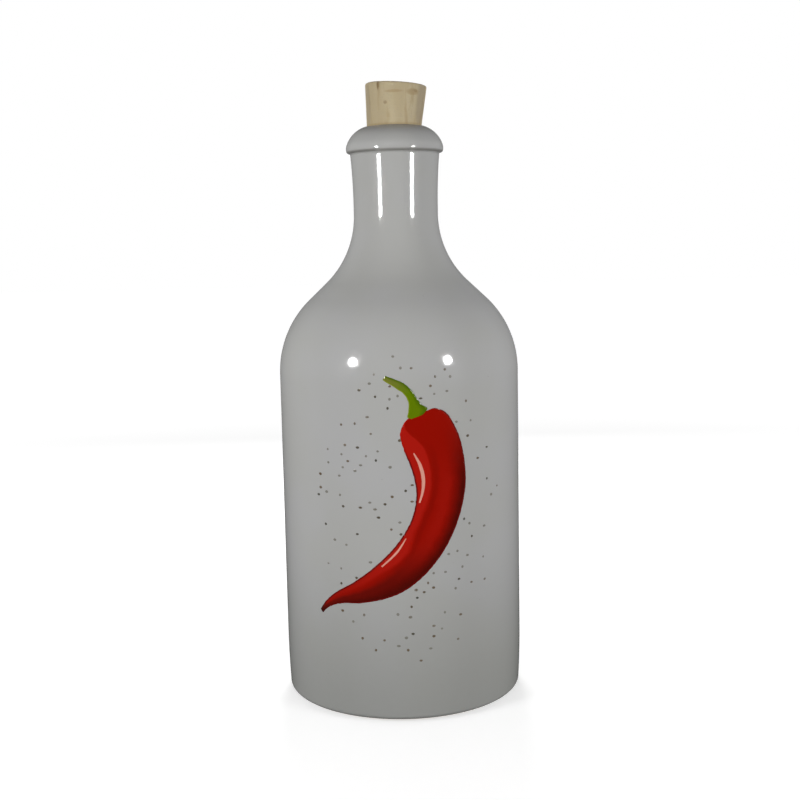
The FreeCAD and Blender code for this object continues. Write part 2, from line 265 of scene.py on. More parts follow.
# Dark drape: a tall drum with a lid, and a dark sheet over the table.
DRAPE_RADIUS, DRAPE_LOW, DRAPE_TOP, DRAPE_STEPS = 1.8, 0.05 * MM, 1.6, 48
DRAPE_FRONT, DRAPE_BACK = 0.004, 0.22
DRAPE_DARK_TO, DRAPE_PALE_FROM = -0.3, 0.7

ring = [(DRAPE_RADIUS * math.sin(a), -DRAPE_RADIUS * math.cos(a))
        for a in (2 * math.pi * k / DRAPE_STEPS for k in range(DRAPE_STEPS))]
mesh = bpy.data.meshes.new("drape")
mesh.from_pydata([(x, y, DRAPE_LOW) for x, y in ring] + [(x, y, DRAPE_TOP) for x, y in ring], [],
                 grid_faces(2, DRAPE_STEPS, closed=True)
                 + [tuple(range(DRAPE_STEPS)), tuple(range(2 * DRAPE_STEPS - 1, DRAPE_STEPS - 1, -1))])
drape = add_piece("drape", mesh)
material, t = new_finish("drape_cloth")
_, y, _ = t.parts(t.node("ShaderNodeNewGeometry", out="Position"))
behind = t.step(y, DRAPE_DARK_TO * DRAPE_RADIUS, DRAPE_PALE_FROM * DRAPE_RADIUS, DRAPE_FRONT, DRAPE_BACK)
finish_surface(t, t.node("ShaderNodeEmission", sockets={"Color": (1, 1, 1, 1), "Strength": behind}))
mesh.materials.append(material)
only_in_gloss(drape)

# Upright strip lights beside the bottle, each with a faint halo round it.
STRIP_SIDE = {"left": math.radians(-40.8), "right": math.radians(43.6)}
STRIP_DISTANCE, STRIP_LOW, STRIP_HIGH, STRIP_WIDTH = 215 * MM, 165 * MM, 169 * MM, 26 * MM
STRIP_GLOW, HALO_GLOW, HALO_WIDTH, HALO_FALL = 120, 10, 62 * MM, 3
BOW_STEPS = 16
STRIP_BOW = [math.pi * k / BOW_STEPS for k in range(BOW_STEPS + 1)]

for side, angle in STRIP_SIDE.items():
    across = Vector((math.cos(angle), math.sin(angle), 0))
    foot = Vector((math.sin(angle), -math.cos(angle), 0)) * STRIP_DISTANCE
    rings = []
    for half in (STRIP_WIDTH / 2, HALO_WIDTH / 2):
        for end, sign in ((STRIP_LOW, -1), (STRIP_HIGH, 1)):
            middle = foot + Vector((0, 0, end))
            rings += [middle + sign * half * (across * math.cos(a) + Vector((0, 0, math.sin(a))))
                      for a in STRIP_BOW]
    count = len(rings) // 2
    mesh = bpy.data.meshes.new("strip_" + side)
    mesh.from_pydata(rings, [], [tuple(range(count))] + grid_faces(2, count, closed=True))
    mesh.attributes.new("glow", "FLOAT", "POINT").data.foreach_set("value", [1.0] * count + [0.0] * count)
    strip = add_piece("strip_" + side, mesh)
    material, t = new_finish("strip_glow_" + side)
    glow = t.node("ShaderNodeAttribute", {"attribute_name": "glow"}, out="Fac")
    strength = glow ** HALO_FALL * HALO_GLOW + t.step(glow, 0.99, 1.0) * STRIP_GLOW
    finish_surface(t, t.node("ShaderNodeEmission", sockets={"Color": (1, 1, 1, 1), "Strength": strength}))
    mesh.materials.append(material)
    only_in_gloss(strip)


# ---------------------------------------------------------------------------
# Bottle. Glazed stoneware, thrown round: one outline turned about the upright
# axis, from the recess under the foot, up the wall and over the rolled lip to
# the floor of the cork seat. Only the foot ring is left bare for the kiln shelf.
# ---------------------------------------------------------------------------

_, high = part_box("bottle")
WALL = high.x / MM

# Heights, radii and rounds in mm. DISH_SLOPE and HEEL_SLOPE are from the level, SLOPE, the leans and
# SEAT_TILT from the upright. BEAD_START and EDGE_START are turns on their own arcs, up from the level.
DISH_RIM, DISH_DEPTH, DISH_SLOPE, DISH_ROUND = 31.0, 1.8, math.radians(40), 1.2
FLAT, FLAT_ROUND, HEEL_SLOPE, HEEL_ROUND = 37.1, 1.5, math.radians(18.5), 1.6
SWELL_ROUND, SWELL_TOP, SWELL_LEAN = 350.0, 21.0, math.radians(3.06)
SHOULDER_ROUND, SHOULDER_LOW, SLOPE = 34.1, 111.0, math.radians(46.7)
NECK, FLARE_ROUND = 14.32, 31.3
COLLAR_ROUND, COLLAR_LEAN = 200.0, math.radians(5.06)
CREASE, CREASE_HEIGHT, CREASE_ROUND = 15.1, 184.7, 0.5
BEAD_CENTRE, BEAD_ROUND, BEAD_START = Vector((12.47, 186.2)), 4.0, math.radians(-10)
EDGE_ROUND, EDGE_START = 0.9, math.radians(-82.7)
DOME_ROUND, DOME_SHORT = 9.45, 1.3
MOUTH, MOUTH_HEIGHT, RIM_HEIGHT, SEAT_FLOOR, SEAT_TILT = 9.2, 193.3, 193.7, 180.3, math.radians(4.2)
MOUTH_ROUND = 0.8


def arc(centre, radius, start, end, steps):
    """Points along an arc, as corners with no round of their own."""
    turns = [start + (end - start) * k / steps for k in range(steps + 1)]
    return [(centre.x + radius * math.cos(a), centre.y + radius * math.sin(a), 0) for a in turns]


def rounded(corners, sag=0.0015, reach=0.9):
    """The line through corners (radius, height, round), each turned by its own round.
    Points lie at most reach apart, and closer where it bends."""
    line = []
    for k, (r, z, radius) in enumerate(corners):
        here = Vector((r, z))
        if not radius:
            line.append(here)
            continue
        back = (Vector(corners[k - 1][:2]) - here).normalized()
        on = (Vector(corners[k + 1][:2]) - here).normalized()
        opening = back.angle(on)
        middle = here + (back + on).normalized() * radius / math.sin(opening / 2)
        start = here + back * radius / math.tan(opening / 2)
        turn = math.pi - opening
        sign = 1 if back.x * on.y - back.y * on.x < 0 else -1
        steps = max(4, math.ceil(turn / (2 * math.acos(1 - sag / radius))), math.ceil(turn * radius / reach))
        for i in range(steps + 1):
            line.append(middle + Matrix.Rotation(sign * turn * i / steps, 2) @ (start - middle))
    even = [line[0]]
    for point in line[1:]:
        gap = point - even[-1]
        pieces = math.ceil(gap.length / reach)
        last = even[-1]
        even += [last + gap * i / pieces for i in range(1, pieces + 1)] if gap.length > 1e-3 else []
    return even


swell_corner = SWELL_TOP - SWELL_ROUND * math.tan(SWELL_LEAN / 2)
heel_rise = math.tan(HEEL_SLOPE)
heel_height = ((WALL - FLAT - swell_corner * math.tan(SWELL_LEAN)) * heel_rise
               / (1 - heel_rise * math.tan(SWELL_LEAN)))
shoulder_corner = SHOULDER_LOW + SHOULDER_ROUND * math.tan(SLOPE / 2)
slope_corner = shoulder_corner + (WALL - NECK) / math.tan(SLOPE)
collar_corner = CREASE_HEIGHT - (CREASE - NECK) / math.tan(COLLAR_LEAN)


def seat_radius(height):
    """The cork seat's radius at a height."""
    return MOUTH + (height - MOUTH_HEIGHT) * math.tan(SEAT_TILT)


# The lip's lower edge touches the bead from inside, and the bead the dome. The dome would meet the
# seat at the rim, and stops a little short of it, to leave room for the mouth's own round.
bead_way = Vector((math.cos(BEAD_START), math.sin(BEAD_START)))
edge_centre = BEAD_CENTRE + (BEAD_ROUND - EDGE_ROUND) * bead_way
rim = Vector((seat_radius(RIM_HEIGHT), RIM_HEIGHT))
span = rim - BEAD_CENTRE
inner = DOME_ROUND - BEAD_ROUND
along = (inner ** 2 - DOME_ROUND ** 2 + span.length ** 2) / (2 * span.length)
offset = math.sqrt(inner ** 2 - along ** 2)
dome_centre = BEAD_CENTRE + span.normalized() * along + Vector((-span.y, span.x)).normalized() * offset
dome_start = math.atan2(*(BEAD_CENTRE - dome_centre).yx)
dome_end = math.atan2(*(rim - dome_centre).yx) - DOME_SHORT * MOUTH_ROUND / DOME_ROUND

bottle_outline = rounded([
    (0, DISH_DEPTH, 0),
    (DISH_RIM - DISH_DEPTH / math.tan(DISH_SLOPE), DISH_DEPTH, DISH_ROUND),
    (DISH_RIM, 0, DISH_ROUND),
    (FLAT, 0, FLAT_ROUND),
    (FLAT + heel_height / heel_rise, heel_height, HEEL_ROUND),
    (WALL, swell_corner, SWELL_ROUND),
    (WALL, shoulder_corner, SHOULDER_ROUND),
    (NECK, slope_corner, FLARE_ROUND),
    (NECK, collar_corner, COLLAR_ROUND),
    (CREASE, CREASE_HEIGHT, CREASE_ROUND),
    *arc(edge_centre, EDGE_ROUND, EDGE_START, BEAD_START, 10),
    *arc(BEAD_CENTRE, BEAD_ROUND, BEAD_START, dome_start, 12)[1:],
    *arc(dome_centre, DOME_ROUND, dome_start, dome_end, 24)[1:],
    (*rim, MOUTH_ROUND),
    (seat_radius(SEAT_FLOOR), SEAT_FLOOR, 0),
    (0, SEAT_FLOOR, 0),
])


def shape_tree(name, inputs):
    """An empty shape tree with a geometry in and out, and its named inputs."""
    tree = bpy.data.node_groups.new(name, "GeometryNodeTree")
    tree.interface.new_socket("Geometry", in_out="OUTPUT", socket_type="NodeSocketGeometry")
    tree.interface.new_socket("Geometry", in_out="INPUT", socket_type="NodeSocketGeometry")
    for label, kind in inputs.items():
        tree.interface.new_socket(label, in_out="INPUT", socket_type="NodeSocket" + kind)
    t = Tree(tree)
    given = t.node("NodeGroupInput")
    return tree, t, {s.name: Wire(t, s) for s in given.socket.node.outputs if s.name}


def made_by(host, name, tree, **values):
    """The plain mesh that the tree makes of the host, as a piece of its own."""
    modifier = host.modifiers.new(tree.name, "NODES")
    modifier.node_group = tree
    for item in tree.interface.items_tree:
        if item.in_out == "INPUT" and item.name in values:
            modifier[item.identifier] = values[item.name]
    result = host.evaluated_get(bpy.context.evaluated_depsgraph_get())
    mesh = bpy.data.meshes.new_from_object(result)
    mesh.name = name
    bpy.data.objects.remove(host)
    return add_piece(name, mesh)


# Potter's wheel: turns an outline drawn as a chain of points into a closed skin. The skin's waves fade
# out towards the axis and the foot.
WAVE_RADIUS, WAVE_HEIGHT = (0.2, 0.5), (1, 8)

wheel, t, given = shape_tree("wheel", {
    "Steps": "Int", "Wander": "Float", "Wander Size": "Float", "Rings": "Float",
    "Ring Pitch": "Float", "Finish": "Material"})
count = t.node("GeometryNodeAttributeDomainSize", {"component": "MESH"}, {0: given["Geometry"]},
               out="Point Count")
across = given["Steps"] + 1
sheet = t.node("GeometryNodeMeshGrid", {}, {"Vertices X": count, "Vertices Y": across})
chart = Wire(t, sheet.socket.node.outputs["UV Map"])
charted = t.node("GeometryNodeStoreNamedAttribute", {"data_type": "FLOAT2", "domain": "CORNER"},
                 {"Geometry": sheet, "Name": "UVMap", "Value": chart})
index = t.node("GeometryNodeInputIndex")
row = (index / across + 1e-5).maths("FLOOR")
column = index - row * across
place = t.node("GeometryNodeSampleIndex", {"data_type": "FLOAT_VECTOR", "domain": "POINT"},
               {"Geometry": given["Geometry"], "Value": t.node("GeometryNodeInputPosition"), "Index": row})
radius, _, height = t.parts(place)
angle = column / given["Steps"] * (2 * math.pi)
sine, cosine = angle.maths("SINE"), angle.maths("COSINE")
skin = t.node("ShaderNodeCombineXYZ", sockets={0: radius * sine, 1: radius * cosine * -1, 2: height})
drift = t.cloud(skin, given["Wander Size"], 1.0)
ripple = (height / given["Ring Pitch"] * (2 * math.pi)).maths("SINE")
share = (t.step(radius, *(part * WALL * MM for part in WAVE_RADIUS))
         * t.step(height, *(up * MM for up in WAVE_HEIGHT)))
grown = radius + share * ((drift - 0.5) * given["Wander"] + ripple * given["Rings"])
thrown = t.node("ShaderNodeCombineXYZ", sockets={0: grown * sine, 1: grown * cosine * -1, 2: height})
shaped = t.node("GeometryNodeSetPosition", sockets={"Geometry": charted, "Position": thrown})
sealed = t.node("GeometryNodeMergeByDistance", sockets={"Geometry": shaped, "Distance": 0.002 * MM})
smooth = t.node("GeometryNodeSetShadeSmooth", sockets={"Geometry": sealed})
whole = t.node("GeometryNodeRealizeInstances", sockets={"Geometry": smooth})
t.node("NodeGroupOutput", sockets={"Geometry": t.node("GeometryNodeSetMaterial", sockets={
    "Geometry": whole, "Material": given["Finish"]})})

# Glaze: a smooth clear-over-grey, thin on the lip, gathered in the crease, with a few iron specks,
# and painted shade in the crease, on the top of the lip, round the mouth and low down. The bare foot ring is
# pale gritty clay.
GLAZE, GLAZE_WARM = srgb(173, 173, 173), srgb(171, 171, 168)
# Painted shade: the pool glaze darkens the crease, where glaze also gathers, and the top of the lip; the
# mouth glaze darkens round the cork; the low glaze darkens the wall towards the foot.
GLAZE_POOL_AND_SHADE, GLAZE_MOUTH_SHADE = srgb(128, 126, 121), srgb(104, 101, 95)
GLAZE_THIN, GLAZE_LOW_SHADE = srgb(180, 180, 178), srgb(147, 148, 144)
CLAY, CLAY_GRIT = srgb(176, 158, 132), srgb(128, 106, 82)
SPECK = srgb(120, 116, 104)
GLAZE_GLOSS, CLAY_GLOSS = 0.07, 0.85
# Sizes of the patches in mm.
CLOUD_SIZE, FINE_SIZE, SPECK_SIZE, SPECK_AREA = 30, 2.2, 4.5, 9
GRIT_SIZE, DIMPLE_SIZE, RIPPLE_SIZE = 0.7, 6, 0.7
# How much of each tone shows.
WARM_SHARE, LOW_SHARE, THIN_SHARE, POOL_SHADE_SHARE, DOME_SHARE, MOUTH_SHARE = 0.8, 0.75, 0.45, 0.8, 0.1, 0.5
SPECK_SHARE, FINE_SHARE = 0.35, 0.12
# Where each fades in or out: radii and heights in mm.
BARE_TOP, BARE_INSIDE, BARE_OUTSIDE = (0.5, 0.15), (30.6, 31.2), (38.2, 37.6)
LOW_FADE, THIN_LOW, THIN_HIGH = (62, 3), (185.4, 187.2), (189.5, 187.2)
POOL_SHADE_ABOVE, POOL_SHADE_FADE, DOME_FADE = 0.25, (0.75, 0.1), (187.0, 188.6)
MOUTH_INWARD, MOUTH_UPWARD = (15.8, 11.2), (187.5, 190)
RIPPLE_LOW, RIPPLE_HIGH = (148, 158), (184.5, 183.5)
RELIEF_DEPTH, GRIT_DEPTH = 0.008, 6


def fade(t, value, span, low=0.0, high=1.0):
    """A smooth rise over a span written in mm."""
    return t.step(value, span[0] * MM, span[1] * MM, low, high)


material, t = new_finish("glaze")
place = t.node("ShaderNodeTexCoord", out="Object")
x, y, z = t.parts(place)
radius = (x * x + y * y).maths("SQRT")
bare = fade(t, z, BARE_TOP) * fade(t, radius, BARE_INSIDE) * fade(t, radius, BARE_OUTSIDE)
cloudy = t.cloud(place, CLOUD_SIZE * MM)
fine = t.cloud(place, FINE_SIZE * MM, 3.0)
colour = t.blend(t.step(cloudy, 0.35, 0.65, 0.0, WARM_SHARE), GLAZE, GLAZE_WARM)
# Painted shade: the glaze darkens towards the foot.
colour = t.blend(fade(t, z, LOW_FADE, 0.0, LOW_SHARE), colour, GLAZE_LOW_SHADE)
lip_thin = fade(t, z, THIN_LOW) * fade(t, z, THIN_HIGH)
colour = t.blend(lip_thin * THIN_SHARE, colour, GLAZE_THIN)
# Glaze gathered in the crease under the bead, darkened further as painted shade.
crease_pool_and_shade = fade(t, abs(z - (CREASE_HEIGHT + POOL_SHADE_ABOVE) * MM), POOL_SHADE_FADE)
colour = t.blend(crease_pool_and_shade * POOL_SHADE_SHARE, colour, GLAZE_POOL_AND_SHADE)
# Painted shade: the upward-facing top of the lip is darkened.
colour = t.blend(fade(t, z, DOME_FADE) * DOME_SHARE, colour, GLAZE_POOL_AND_SHADE)
# Painted shade round the mouth, where the cork meets the lip.
mouth_shade = fade(t, radius, MOUTH_INWARD) * fade(t, z, MOUTH_UPWARD)
colour = t.blend(mouth_shade * MOUTH_SHARE, colour, GLAZE_MOUTH_SHADE)
specks = t.node("ShaderNodeTexVoronoi", sockets={"Vector": place, "Scale": 1 / (SPECK_SIZE * MM)})
rare = t.cloud(place, SPECK_AREA * MM)
colour = t.blend(t.step(specks, 0.055, 0.03) * t.step(rare, 0.56, 0.62) * SPECK_SHARE, colour, SPECK)
colour = t.blend(fine * FINE_SHARE, colour, GLAZE_WARM)
grit = t.cloud(place, GRIT_SIZE * MM, 4.0)
colour = t.blend(bare, colour, t.blend(t.step(grit, 0.45, 0.7), CLAY, CLAY_GRIT))
dimple = t.cloud(place, DIMPLE_SIZE * MM, 1.0)
ripple = t.cloud(place, RIPPLE_SIZE * MM) * fade(t, z, RIPPLE_LOW) * fade(t, z, RIPPLE_HIGH)
relief = dimple * (1 - bare) + ripple + grit * bare * GRIT_DEPTH
bump = t.node("ShaderNodeBump", sockets={"Height": relief, "Strength": 1.0, "Distance": RELIEF_DEPTH * MM})
finish_surface(t, t.node("ShaderNodeBsdfPrincipled", sockets={
    "Base Color": colour, "Roughness": GLAZE_GLOSS + fine * 0.03 + bare * (CLAY_GLOSS - GLAZE_GLOSS),
    "IOR": 1.5, "Normal": bump}))
glaze = material

WHEEL_STEPS = 232
WANDER, WANDER_SIZE, RINGS, RING_PITCH = 0.12 * MM, 70 * MM, 0.004 * MM, 5.5 * MM

outline = bpy.data.meshes.new("bottle_outline")
outline.from_pydata([(r * MM, 0, z * MM) for r, z in bottle_outline],
                    [(k, k + 1) for k in range(len(bottle_outline) - 1)], [])
bottle = made_by(add_piece("bottle_outline", outline), "glazed_bottle", wheel, **{
    "Steps": WHEEL_STEPS, "Wander": WANDER, "Wander Size": WANDER_SIZE, "Rings": RINGS,
    "Ring Pitch": RING_PITCH, "Finish": glaze})
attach(bottle, "root")
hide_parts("bottle")


# ---------------------------------------------------------------------------
# Cork. Natural cork punched with the grain upright, pressed into the mouth and
# standing a little crooked. Its skin is nicked and pitted, with woody streaks.
# ---------------------------------------------------------------------------

PROUD, HEAD, HEAD_TILT, HEAD_ROUND = 14.0, 10.4, math.radians(3.5), 0.6
HEAD_SHIFT, HEAD_HEIGHT = PROUD * math.sin(HEAD_TILT), MOUTH_HEIGHT + PROUD * math.cos(HEAD_TILT)
SQUEEZE = 0.03
CORK_LOW, CORK_AT_MOUTH = seat_radius(SEAT_FLOOR) + SQUEEZE, MOUTH + SQUEEZE
CORK_AROUND, CORK_ALONG, CORK_TOP_RINGS = 224, 96, 26
CORK_SEED, PIT_COUNT, DENTS_FROM = 5, 70, 0.4
# Roughness of side and top in mm, and how closely it comes along each axis.
SKIN_ROUGH, SKIN_FINE, SKIN_BROAD, BROAD_SHIFT = 0.05, (1.3, 1.3, 0.35), (0.35, 0.35, 0.12), (7, 3, 1)
TOP_BROAD, TOP_FINE = (0.07, 0.9, 3.3), (0.05, 2.8, 9.1)

lots = random.Random(CORK_SEED)
pits = [(lots.uniform(-math.pi, math.pi), lots.uniform(MOUTH_HEIGHT - 2, HEAD_HEIGHT),
         lots.uniform(0.18, 0.5), lots.uniform(0.3, 1.4), lots.uniform(0.05, 0.22)) for _ in range(PIT_COUNT)]
# The marks that stand out: turn from the front, height, half width, half height, depth.
pits += [(math.radians(-32), 206.6, 0.45, 1.5, 0.35),
         (math.radians(-17), 200.7, 0.5, 0.5, 0.15),
         (math.radians(37), 204.6, 1.3, 0.35, 0.18)]


def cork_point(turn, up):
    """The smooth cork's skin at a turn from the front, up from 0 at its foot to 1 at its head."""
    plug = (MOUTH_HEIGHT - SEAT_FLOOR) / (HEAD_HEIGHT - SEAT_FLOOR)
    if up < plug:
        part = up / plug
        radius, shift, tilt = CORK_LOW + (CORK_AT_MOUTH - CORK_LOW) * part, 0, 0
        height = SEAT_FLOOR + (MOUTH_HEIGHT - SEAT_FLOOR) * part
    else:
        part = (up - plug) / (1 - plug)
        radius = CORK_AT_MOUTH + (HEAD - CORK_AT_MOUTH) * part
        shift, tilt = HEAD_SHIFT * part, HEAD_TILT * part
        height = MOUTH_HEIGHT + (HEAD_HEIGHT - MOUTH_HEIGHT) * part
    x, y = radius * math.sin(turn), -radius * math.cos(turn)
    return Vector((shift + x * math.cos(tilt), y, height - x * math.sin(tilt)))


def cork_dent(turn, point):
    """How deep the skin is nicked there, in mm."""
    fine = noise.noise(point * Vector(SKIN_FINE))
    broad = noise.noise(point * Vector(SKIN_BROAD) + Vector(BROAD_SHIFT))
    depth = SKIN_ROUGH * (abs(fine) + 0.5 + 0.5 * broad)
    for at, height, wide, tall, deep in pits:
        away = math.remainder(turn - at, 2 * math.pi) * HEAD / wide
        off = (point.z - height) / tall
        if abs(away) < 2 and abs(off) < 2:
            reach = away * away + off * off
            depth += deep * math.exp(-1.5 * reach)
    return depth


verts = []
for j in range(CORK_ALONG + 1):
    up = j / CORK_ALONG
    for i in range(CORK_AROUND):
        turn = 2 * math.pi * i / CORK_AROUND
        point = cork_point(turn, up)
        middle = Vector((HEAD_SHIFT * up, 0, point.z))
        out = (point - middle).normalized()
        dent = cork_dent(turn, point) if up > DENTS_FROM else 0
        drop = HEAD_HEIGHT - (point.z + (point.x - HEAD_SHIFT) * math.sin(HEAD_TILT))
        if drop < HEAD_ROUND:
            dent += HEAD_ROUND - math.sqrt(max(0, HEAD_ROUND ** 2 - (HEAD_ROUND - drop) ** 2))
        verts.append(point - out * dent)
last = verts[-CORK_AROUND:]
centre = Vector((HEAD_SHIFT, 0, HEAD_HEIGHT))
for k in range(1, CORK_TOP_RINGS):
    share = 1 - k / CORK_TOP_RINGS
    for rim_point in last:
        point = centre + (rim_point - centre) * share
        rough = sum(deep * noise.noise(Vector((point.x * close, point.y * close, slice_at)))
                    for deep, close, slice_at in (TOP_BROAD, TOP_FINE))
        verts.append(point + Vector((0, 0, min(0, rough) * min(1, k / 3))))
rows = CORK_ALONG + CORK_TOP_RINGS
faces = grid_faces(rows, CORK_AROUND, closed=True)
foot_point, head_point = len(verts), len(verts) + 1
verts += [Vector((0, 0, SEAT_FLOOR)), centre]
faces += [(foot_point, (i + 1) % CORK_AROUND, i) for i in range(CORK_AROUND)]
edge = (rows - 1) * CORK_AROUND
faces += [(head_point, edge + i, edge + (i + 1) % CORK_AROUND) for i in range(CORK_AROUND)]
mesh = bpy.data.meshes.new("cork_stopper")
mesh.from_pydata([v * MM for v in verts], [], faces)
mesh.polygons.foreach_set("use_smooth", [True] * len(mesh.polygons))
cork = add_piece("cork_stopper", mesh)

# Cork finish: warm tan, streaked upright, darker in the nicks, with painted shade down its two sides and
# round its foot by the lip.
CORK_TAN, CORK_PALE, CORK_GREY = srgb(174, 159, 127), srgb(182, 168, 137), srgb(159, 149, 130)
CORK_BROWN, CORK_DARK, CORK_SIDE_SHADE = srgb(150, 126, 82), srgb(118, 96, 60), srgb(146, 134, 114)
GRAIN_STRETCH, STREAK_SIZE, BROAD_SIZE, CRUMB_SIZE = 0.12, 1.5 * MM, 5 * MM, 0.5 * MM
# Painted shade round the cork's foot, where it meets the lip.
CORK_FOOT_SHADE_FADE, CORK_FOOT_SHADE_SHARE = (194.4, 193.9), 0.35

material, t = new_finish("cork")
place = t.node("ShaderNodeTexCoord", out="Object")
x, y, z = t.parts(place)
grain_place = t.node("ShaderNodeMapping", sockets={"Vector": place, "Scale": (1, 1, GRAIN_STRETCH)})
streak = t.cloud(grain_place, STREAK_SIZE, 3.0)
broad = t.cloud(grain_place, BROAD_SIZE, 1.0)
crumb = t.cloud(place, CRUMB_SIZE, 4.0)
colour = t.blend(t.step(broad, 0.35, 0.65), CORK_TAN, CORK_PALE)
colour = t.blend(t.step(streak, 0.5, 0.75, 0, 0.5), colour, CORK_BROWN)
colour = t.blend(t.step(crumb, 0.5, 0.8, 0, 0.5), colour, CORK_GREY)


def mark(turn, height, wide, tall, strength, tone, colour):
    """A stain on the cork's side, also used to paint shade there, at a turn in degrees, with sizes in mm."""
    turn = math.radians(turn)
    away = (x * math.cos(turn) + y * math.sin(turn)) / (wide * MM)
    off = (z - height * MM) / (tall * MM)
    wobble = (crumb - 0.5) * 0.9
    reach = away * away + off * off + wobble
    facing = t.step(x * math.sin(turn) - y * math.cos(turn), 2 * MM, 5 * MM)
    return t.blend(t.step(reach, 1.3, 0.3) * facing * strength, colour, tone)


# The stains and painted shade: turn, height, half width, half height, strength and tone. The two tall ones
# are painted shade darkening the cork's sides.
for turn, height, wide, tall, strength, tone in (
        (-32, 206.4, 0.45, 1.6, 0.8, CORK_DARK),
        (-17, 200.7, 0.7, 0.6, 0.5, CORK_DARK),
        (0, 204.2, 3.2, 0.5, 0.45, CORK_BROWN),
        (38, 204.0, 2.6, 1.1, 0.5, CORK_BROWN),
        (44, 204.3, 0.8, 0.5, 0.35, CORK_DARK),
        (64, 200.5, 3.0, 9.0, 0.55, CORK_SIDE_SHADE),
        (-66, 200.5, 2.0, 9.0, 0.4, CORK_SIDE_SHADE),
        (0, 195.6, 4.0, 0.3, 0.35, CORK_PALE)):
    colour = mark(turn, height, wide, tall, strength, tone, colour)
# Painted shade: the cork darkens at its foot, by the lip.
colour = t.blend(fade(t, z, CORK_FOOT_SHADE_FADE) * CORK_FOOT_SHADE_SHARE, colour, CORK_BROWN)
relief = crumb * 0.6 + streak
bump = t.node("ShaderNodeBump", sockets={"Height": relief, "Strength": 0.6, "Distance": 0.12 * MM})
finish_surface(t, t.node("ShaderNodeBsdfPrincipled", sockets={
    "Base Color": colour, "Roughness": 0.78 + crumb * 0.12, "IOR": 1.4, "Normal": bump}))
mesh.materials.append(material)
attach(cork, "root")
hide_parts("cork")


# ---------------------------------------------------------------------------
# Chilli. Onglaze enamel laid thick on the wall and fired: the red fruit, its
# green stalk and cup, and two pale strokes of gloss, each a low raised film.
# ---------------------------------------------------------------------------

FILM_SUNK, FILM_UNDER = 0.01, 0.06

skin_tree = BVHTree.FromObject(bottle, bpy.context.evaluated_depsgraph_get())


def on_wall(along, height, proud):
    """A point proud of the glazed wall, along it from the front and up it, in mm."""
    turn = along / WALL
    away = Vector((math.sin(turn), -math.cos(turn), 0))
    hit, _, _, _ = skin_tree.ray_cast(away * 2 * WALL * MM + Vector((0, 0, height * MM)), -away)
    return hit + away * proud * MM


def smooth_line(points, count):
    """Even points on the smooth line through the given ones."""
    points = np.array(points, float)
    reach = np.concatenate([[0], np.cumsum(np.linalg.norm(np.diff(points, axis=0), axis=1))])
    slope = np.gradient(points, reach, axis=0)
    at = np.linspace(0, reach[-1], count)
    k = np.clip(np.searchsorted(reach, at, side="right") - 1, 0, len(points) - 2)
    span = (reach[k + 1] - reach[k])[:, None]
    u = ((at - reach[k]) / span[:, 0])[:, None]
    return ((2 * u ** 3 - 3 * u ** 2 + 1) * points[k] + (u ** 3 - 2 * u ** 2 + u) * span * slope[k]
            + (3 * u ** 2 - 2 * u ** 3) * points[k + 1] + (u ** 3 - u ** 2) * span * slope[k + 1])


def enamel(name, left, right, rows, columns, thick, finish, edge=0.35, wobble=0.0, end=40.0):
    """A closed film between two edge lines on the wall, sinking to the glaze over its edge
    and at both ends. It carries how far across and along it a place is, and how far from
    the edge in mm, for its finish."""
    left, right = smooth_line(left, rows), smooth_line(right, rows)
    top, under, across, along, inset = [], [], [], [], []
    for j in range(rows):
        wide = np.linalg.norm(right[j] - left[j])
        for i in range(columns):
            u = i / (columns - 1)
            spot = left[j] + (right[j] - left[j]) * u
            if wobble and 0 < j < rows - 1:
                outward = (right[j] - left[j]) / max(wide, 1e-6) * (2 * u - 1)
                spot = spot + outward * wobble * noise.noise(Vector((spot[0] * 1.1, spot[1] * 1.1, u)))
            gap = min(min(u, 1 - u) * wide, j / (rows - 1) * end, (1 - j / (rows - 1)) * end)
            rise = thick * min(1, gap / edge) ** 0.5 if gap > 0 else 0
            top.append(on_wall(spot[0], spot[1], rise - FILM_SUNK))
            under.append(on_wall(spot[0], spot[1], -FILM_UNDER))
            across.append(u)
            along.append(j / (rows - 1))
            inset.append(gap)
    faces = [f[::-1] for f in grid_faces(rows, columns)]
    base = rows * columns
    faces += [tuple(base + v for v in f[::-1]) for f in faces]
    border = (list(range(columns)) + [j * columns + columns - 1 for j in range(1, rows)]
              + [(rows - 1) * columns + i for i in range(columns - 2, -1, -1)]
              + [j * columns for j in range(rows - 2, 0, -1)])
    faces += [(a, b, base + b, base + a) for a, b in zip(border, border[1:] + border[:1])]
    mesh = bpy.data.meshes.new(name)
    mesh.from_pydata(top + under, [], faces)
    mesh.polygons.foreach_set("use_smooth", [True] * len(mesh.polygons))
    for label, values in (("across", across), ("along", along), ("inset", inset)):
        mesh.attributes.new(label, "FLOAT", "POINT").data.foreach_set("value", values * 2)
    mesh.materials.append(finish)
    piece = add_piece(name, mesh)
    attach(piece, "root")
    return piece


def enamel_finish(name, paint):
    """Glossy fired enamel whose colour is worked out by paint from the film's own places."""
    material, t = new_finish(name)
    place = t.node("ShaderNodeTexCoord", out="Object")
    across, along, inset = (t.node("ShaderNodeAttribute", {"attribute_name": label}, out="Fac")
                            for label in ("across", "along", "inset"))
    colour = paint(t, place, across, along, inset)
    brush = t.cloud(place, 1.2 * MM)
    bump = t.node("ShaderNodeBump", sockets={"Height": brush, "Strength": 0.5, "Distance": 0.01 * MM})
    finish_surface(t, t.node("ShaderNodeBsdfPrincipled", sockets={
        "Base Color": colour, "Roughness": 0.1 + brush * 0.06, "IOR": 1.45, "Normal": bump}))
    return material


